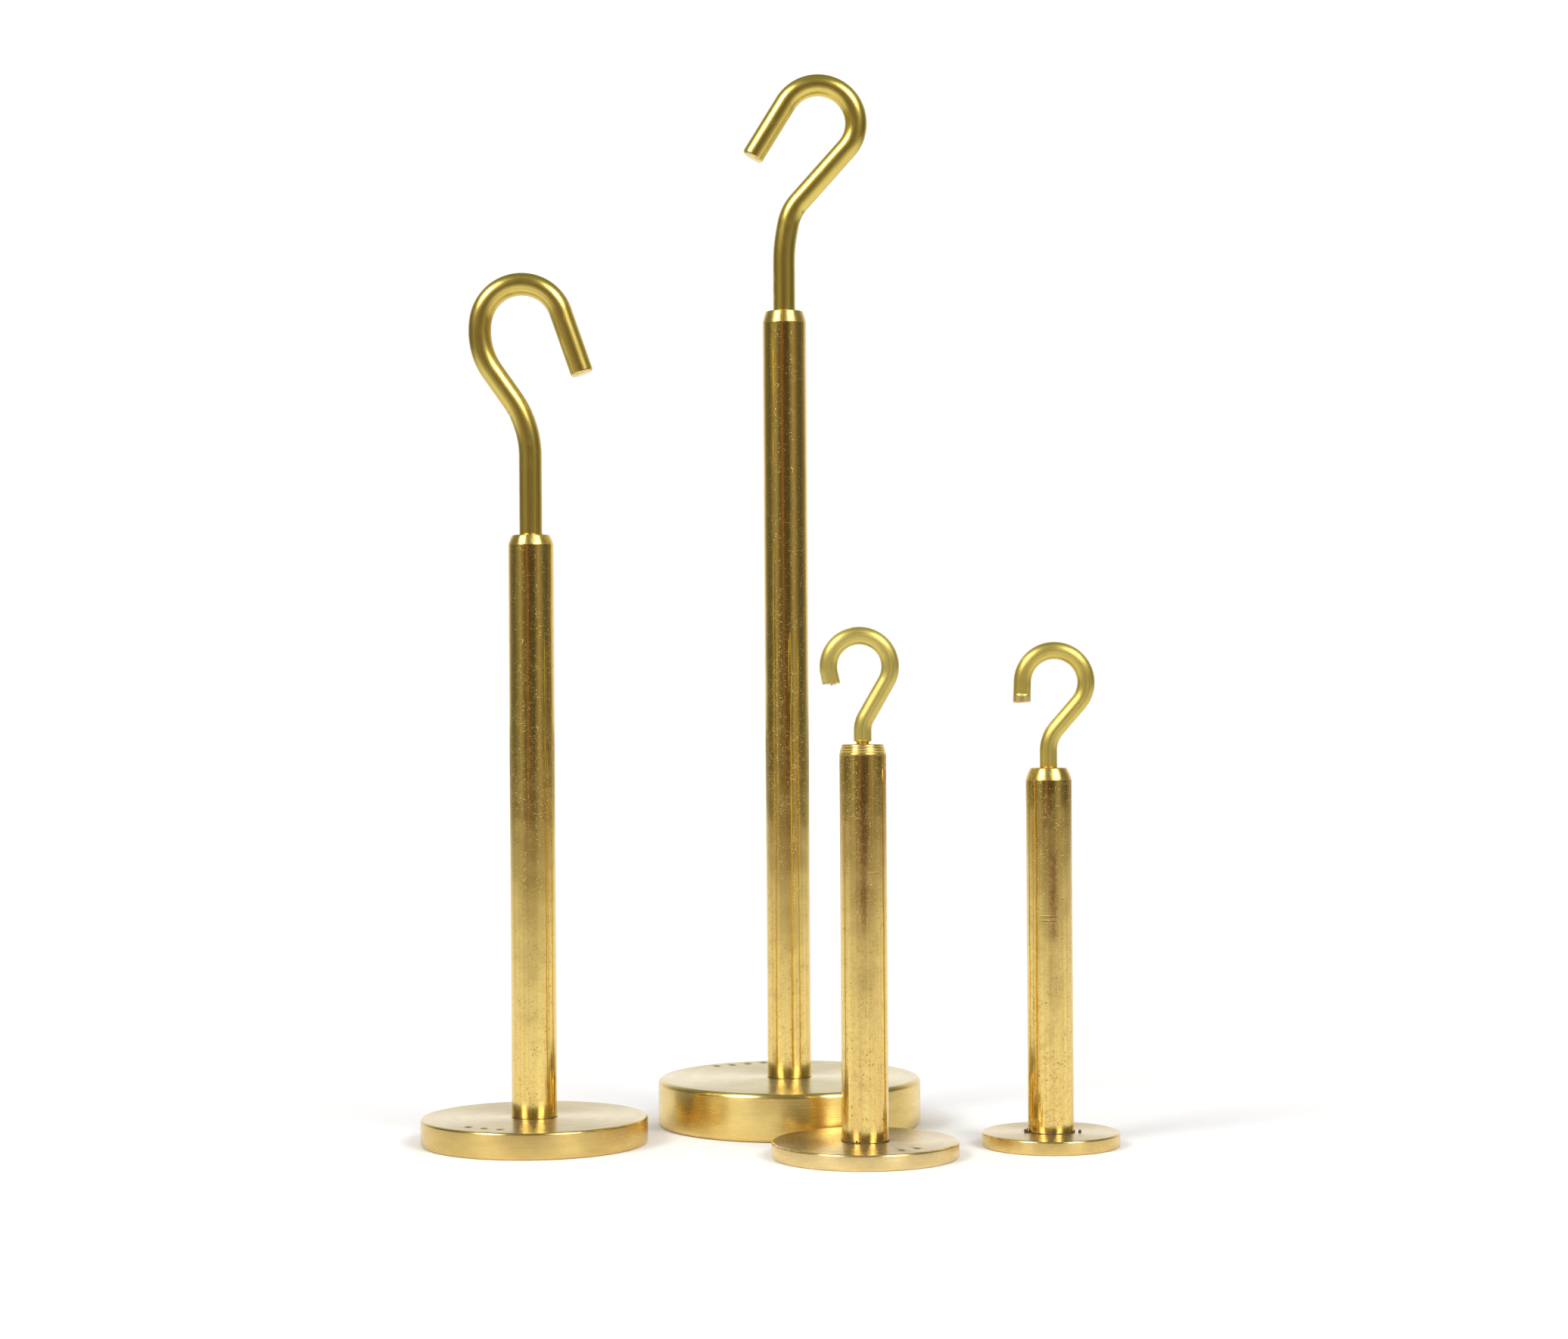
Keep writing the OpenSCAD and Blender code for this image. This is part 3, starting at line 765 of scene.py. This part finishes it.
def makeHook(size):
    setup = hooks[size]
    centre, _ = middle("stem_" + size)
    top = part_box("stem_" + size)[1].z
    wire, thread = setup["wire"] / 2, setup["thread"] / 2
    path = wirePath(setup)
    stations = []
    depth = 0.4 + setup["turns"] * hooks["pitch"]
    stations.append((0, -depth, 0, -depth, 0.0))
    stations.append((0, -depth, 0, -depth, thread - 0.4))
    for i in range(setup["turns"] - 1, -1, -1):
        for back, cut in ((0.5, 0.0), (0.0, 0.28)):
            level = -0.4 - (i + back) * hooks["pitch"]
            stations.append((0, level, 0, level, thread - cut))
    stations.append((0, setup["neck"] - 0.06, 0, setup["neck"] - 0.06, thread - 0.25))
    stations.append((0, setup["neck"], 0, 0, wire - 0.06))
    stations.append((0, setup["neck"] + 0.08, 0, 0.08, wire))
    stations += [(x, z, heading, along, wire) for x, z, heading, along in path if along > 0.1]
    last = stations[-1]
    reach = 1.15 if setup["end"] == "sheared" else 0.45
    stations = [s for s in stations if s[3] < last[3] - reach] + endStations(setup["end"], last, wire)
    shape = sweep(stations, setup["end"], wire, setup["dents"])
    piece = makeObject("wire_hook_" + size, shape, (centre.x, centre.y, top), wireBrass[size], 38)
    piece.data.materials.append(cutBrass)
    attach(piece, "hook_" + size)
    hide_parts("hook_" + size)


def endStations(kind, last, wire):
    x, z, heading, along, _ = last

    def back(distance, radius):
        aside, down = math.sin(heading) * distance, math.cos(heading) * distance
        return (x - aside, z - down, heading, along - distance, radius)

    if kind == "filed":
        marks = [(0.44, wire), (0.3, wire), (0.2, wire - 0.05), (0.1, wire - 0.12), (0.0, wire - 0.22)]
    elif kind == "sheared":
        # a swollen band, with rings close enough together to carry its dents
        swell = wire + 0.04
        marks = [(1.1, wire), (1.04, swell), (0.9, swell + 0.005)]
        marks += [(distance, swell) for distance in (0.78, 0.7, 0.62, 0.54, 0.4, 0.2)]
        marks += [(0.06, wire + 0.03), (0.0, wire - 0.03)]
    else:
        marks = [(0.42, wire), (0.28, wire), (0.14, wire), (0.06, wire), (0.0, wire - 0.04)]
    face = [back(0, wire * share) for share in (0.8, 0.6, 0.4, 0.2, 0)]
    return [back(distance, radius) for distance, radius in marks] + face


def sweep(stations, kind, wire, dents):
    shape = bmesh.new()
    laid = shape.loops.layers.uv.new("wire")
    around = hooks["around"]
    rings, lengths = [], []
    total = stations[-1][3]
    for x, z, heading, along, radius in stations:
        middlePoint = Vector((x, 0, z))
        forward = Vector((math.sin(heading), 0, math.cos(heading)))
        side = Vector((math.cos(heading), 0, -math.sin(heading)))
        lengths.append(along)
        if radius <= 0:
            rings.append([shape.verts.new(middlePoint * mm)])
            continue
        ring = []
        for step in range(around):
            angle = 2 * math.pi * step / around
            out = side * math.cos(angle) + Vector((0, 1, 0)) * math.sin(angle)
            point = middlePoint + out * (radius - dentDepth(dents, along, angle, wire))
            near = min(1, max(0, 1 - (total - along) / 0.42))
            point += forward * near * endFall(kind, math.cos(angle) * radius, math.sin(angle) * radius)
            ring.append(shape.verts.new(point * mm))
        rings.append(ring)
    for i, (low, high) in enumerate(zip(rings, rings[1:])):
        for step in range(around):
            after = (step + 1) % around
            if len(low) == 1:
                face = shape.faces.new((low[0], high[step], high[after]))
                marks = [(step + 0.5, i), (step, i + 1), (step + 1, i + 1)]
            elif len(high) == 1:
                face = shape.faces.new((low[step], low[after], high[0]))
                marks = [(step, i), (step + 1, i), (step + 0.5, i + 1)]
            else:
                face = shape.faces.new((low[step], low[after], high[after], high[step]))
                marks = [(step, i), (step + 1, i), (step + 1, i + 1), (step, i + 1)]
            face.material_index = int(total - lengths[i] < hooks["cutLong"][kind])
            for loop, (turn, row) in zip(face.loops, marks):
                loop[laid].uv = (turn / around, lengths[row] * mm)
    return shape


def dentDepth(dents, along, angle, wire):
    sunk = 0.0
    for spot, turn, width, depth in dents:
        around = math.remainder(angle - math.radians(turn), 2 * math.pi) * wire
        away = math.hypot(along - spot, around) / width
        if away < 2.5:
            sunk += depth * math.exp(-away * away) * (1 - 0.35 * math.exp(-4 * (away - 1.4) ** 2))
    return sunk


def endFall(kind, sideways, depthways):
    # how far a cut end drops back from the square, across the wire
    if kind == "pinched":
        edge = hooks["tornEdge"]
        for (low, lowFall), (high, highFall) in zip(edge, edge[1:]):
            if low <= sideways <= high:
                tear = 0.06 * noise.noise(Vector((sideways * 4, depthways * 3, 4.2)))
                slope = (highFall - lowFall) / (high - low)
                return lowFall + slope * (sideways - low) + tear - 0.12 * abs(depthways)
    if kind == "sheared":
        return 0.09 * sideways + 0.03 * noise.noise(Vector((sideways * 4, depthways * 4, 1.7)))
    return 0.0


for size in sizes:
    makeHook(size)
print("hooks ready")


# ---- screws

for size in sizes:
    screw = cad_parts["base_screw_" + size]
    screw.data.materials.clear()
    screw.data.materials.append(screwBrass)


# ---- dark ring and lumps in the seams

seams = {
    "100g": {"reach": 0.05, "uneven": 0.6, "crumbs": 0}, "50g": {"reach": 0.05, "uneven": 0.6, "crumbs": 0},
    "25g": {"reach": 0.12, "uneven": 1.0, "crumbs": 3}, "20g": {"reach": 0.14, "uneven": 1.0, "crumbs": 4},
    # larger dark lumps seen from the front: to the right of the stem's middle, in front of it, width
    "lumps": {"100g": [], "50g": [], "25g": [(-1.7, 3.35, 0.22), (-1.2, 3.5, 0.16), (-0.6, 3.5, 0.12)],
              "20g": [(-3.5, 0.5, 0.3), (-3.2, 1.1, 0.16), (3.9, 0.9, 0.24)]},
}


def makeSeam(size):
    setup = seams[size]
    centre, span = middle("stem_" + size)
    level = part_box("base_" + size)[1].z
    radius = span.x / 2
    draw = random.Random(size)
    # a dark bead runs round the foot of each stem, in the join with the disc, with lumps beside it
    shape = bmesh.new()
    turns, sides = 160, 8
    rings = []
    for step in range(turns):
        angle = 2 * math.pi * step / turns
        spot = Vector((4 * math.cos(angle), 4 * math.sin(angle), len(size) + draw.random() * 0.05))
        swell = noise.noise(spot)
        bead = setup["reach"] * mm * max(0.25, 1 + 1.6 * setup["uneven"] * swell)
        ring = []
        for side in range(sides):
            tilt = 2 * math.pi * side / sides
            reach = radius - 0.02 * mm + bead * (1 + math.cos(tilt)) * 0.6
            ring.append(shape.verts.new((reach * math.cos(angle), reach * math.sin(angle),
                                         bead * (0.5 + math.sin(tilt) * 0.55))))
        rings.append(ring)
    for low, high in zip(rings, rings[1:] + rings[:1]):
        for side in range(sides):
            after = (side + 1) % sides
            shape.faces.new((low[side], low[after], high[after], high[side]))
    lumps = [(x, -y, wide) for x, y, wide in seams["lumps"][size]]
    for _ in range(setup["crumbs"]):
        angle, out = draw.uniform(0, 2 * math.pi), radius / mm + draw.uniform(0.15, 0.8)
        lumps.append((out * math.cos(angle), out * math.sin(angle), draw.uniform(0.05, 0.1)))
    for x, y, wide in lumps:
        width = wide * mm
        spot = Vector((x * mm, y * mm, width * 0.4))
        shift = Matrix.Translation(spot)
        made = bmesh.ops.create_icosphere(shape, subdivisions=2, radius=width, matrix=shift)
        for vert in made["verts"]:
            grow = 1 + 0.5 * noise.noise(vert.co * 9000)
            vert.co = spot + (vert.co - spot) * grow
            vert.co.z = max(vert.co.z, 0)
    piece = makeObject("dark_seam_" + size, shape, (centre.x, centre.y, level), darkSeam, 60)
    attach(piece, "hanger_" + size)


for size in sizes:
    makeSeam(size)
print("seams ready")


# ---- table, room and lamps

room = {
    "tableFront": -1.1, "tableSize": 3.0, "tableTone": (0.86, 0.855, 0.85), "sideReach": 0.6,
    # how bright the table looks in a reflection, by distance in front of the set
    "tableFade": [(0.0, 0.92), (0.10, 0.91), (0.19, 0.80), (0.27, 0.66), (0.37, 0.48),
                  (0.50, (0.35, 0.31, 0.22)), (0.70, (0.21, 0.17, 0.11)), (1.0, (0.12, 0.09, 0.05))],
    # brightness of the walls round the set, from behind over the left, the front and the right
    "walls": [
        (0.06, (1.0, 0.99, 0.96)), (0.10, (0.78, 0.76, 0.68)), (0.13, (0.46, 0.44, 0.36)),
        (0.17, (0.19, 0.18, 0.13)), (0.25, (0.10, 0.10, 0.08)), (0.355, (0.36, 0.32, 0.21)),
        (0.42, (0.12, 0.10, 0.06)), (0.46, (0.26, 0.14, 0.07)), (0.485, (0.11, 0.07, 0.04)),
        (0.55, (0.08, 0.07, 0.05)), (0.62, (0.38, 0.33, 0.21)), (0.70, (0.12, 0.11, 0.08)),
        (0.77, (0.11, 0.10, 0.08)), (0.84, (0.30, 0.28, 0.22)), (0.88, (0.80, 0.76, 0.68)),
        (0.94, (1.0, 0.99, 0.96)),
    ],
    "ceiling": (0.24, 0.25, 0.16),
    "lampLeft": {"turn": -50, "rise": 38, "wide": 24, "power": 1.35, "glint": 1.7},
    "lampRight": {"turn": 41, "rise": 38, "wide": 24, "power": 1.35, "glint": 1.7},
}


def makeTable():
    shape = bmesh.new()
    front, far = room["tableFront"], room["tableSize"]
    bend = [math.radians(-110 + 220 * i / 44) for i in range(45)]
    corners = [(front * math.sin(-turn), front * math.cos(turn)) for turn in bend] + [(far, far), (-far, far)]
    shape.faces.new([shape.verts.new((x, y, 0)) for x, y in corners])
    material = bpy.data.materials.new("paleTable")
    material.use_nodes = True
    tree = material.node_tree
    shader = tree.nodes["Principled BSDF"]
    place = addNode(tree, "ShaderNodeTexCoord").outputs["Object"]
    grain = addNode(tree, "ShaderNodeTexNoise", i0=place, Scale=240.0, Detail=4.0).outputs["Fac"]
    tone = ramp(tree, grain, [(0.3, tuple(c * 0.99 for c in room["tableTone"])), (0.7, room["tableTone"])])
    parts = addNode(tree, "ShaderNodeSeparateXYZ", i0=place).outputs
    aside = maths(tree, "MULTIPLY", parts[0], room["sideReach"])
    ahead = maths(tree, "MINIMUM", parts[1], 0.0)
    spot = addNode(tree, "ShaderNodeCombineXYZ", i0=aside, i1=ahead).outputs[0]
    away = vectorMaths(tree, "LENGTH", spot, result="Value")
    mirrored = mixColour(tree, 1.0, tone, ramp(tree, away, room["tableFade"]), "MULTIPLY")
    path = addNode(tree, "ShaderNodeLightPath").outputs
    tree.links.new(mixColour(tree, path["Is Glossy Ray"], tone, mirrored), shader.inputs["Base Color"])
    shader.inputs["Roughness"].default_value = 0.9
    shader.inputs["Specular IOR Level"].default_value = 0.1
    table = makeObject("table", shape, (0, 0, 0), material)


def makeRoom():
    world = bpy.data.worlds.new("studio")
    scene.world = world
    world.use_nodes = True
    tree = world.node_tree
    shader = tree.nodes["Background"]
    way = addNode(tree, "ShaderNodeTexCoord").outputs["Generated"]
    parts = addNode(tree, "ShaderNodeSeparateXYZ", i0=way).outputs
    turn = maths(tree, "ARCTAN2", parts[0], maths(tree, "MULTIPLY", parts[1], -1.0))
    share = maths(tree, "ADD", maths(tree, "DIVIDE", turn, 2 * math.pi), 0.5)
    level = ramp(tree, share, room["walls"])
    overhead = ramp(tree, parts[2], [(0.3, 0.0), (0.7, 1.0)])
    seen = mixColour(tree, overhead, level, (*room["ceiling"], 1))
    path = addNode(tree, "ShaderNodeLightPath").outputs
    light = mixColour(tree, path["Is Glossy Ray"], (0.76, 0.76, 0.76, 1), seen)
    light = mixColour(tree, path["Is Camera Ray"], light, (1.0, 1.0, 1.0, 1))
    tree.links.new(light, shader.inputs["Color"])


def makeLamp(name, setup):
    # one lamp lights the table, its brighter twin only shows in polished metal
    turn, rise = math.radians(setup["turn"]), math.radians(setup["rise"])
    away = Vector((math.sin(turn) * math.cos(rise), -math.cos(turn) * math.cos(rise), math.sin(rise)))
    for part in ("power", "glint"):
        data = bpy.data.lights.new(name + "_" + part, "SUN")
        data.angle = math.radians(setup["wide"])
        data.energy = setup[part]
        lamp = bpy.data.objects.new(name + "_" + part, data)
        lamp.rotation_euler = away.to_track_quat("Z", "Y").to_euler()
        lamp.visible_diffuse = part == "power"
        lamp.visible_glossy = part == "glint"
        scene.collection.objects.link(lamp)


makeTable()
makeRoom()
makeLamp("softboxLeft", room["lampLeft"])
makeLamp("softboxRight", room["lampRight"])
print("studio ready")
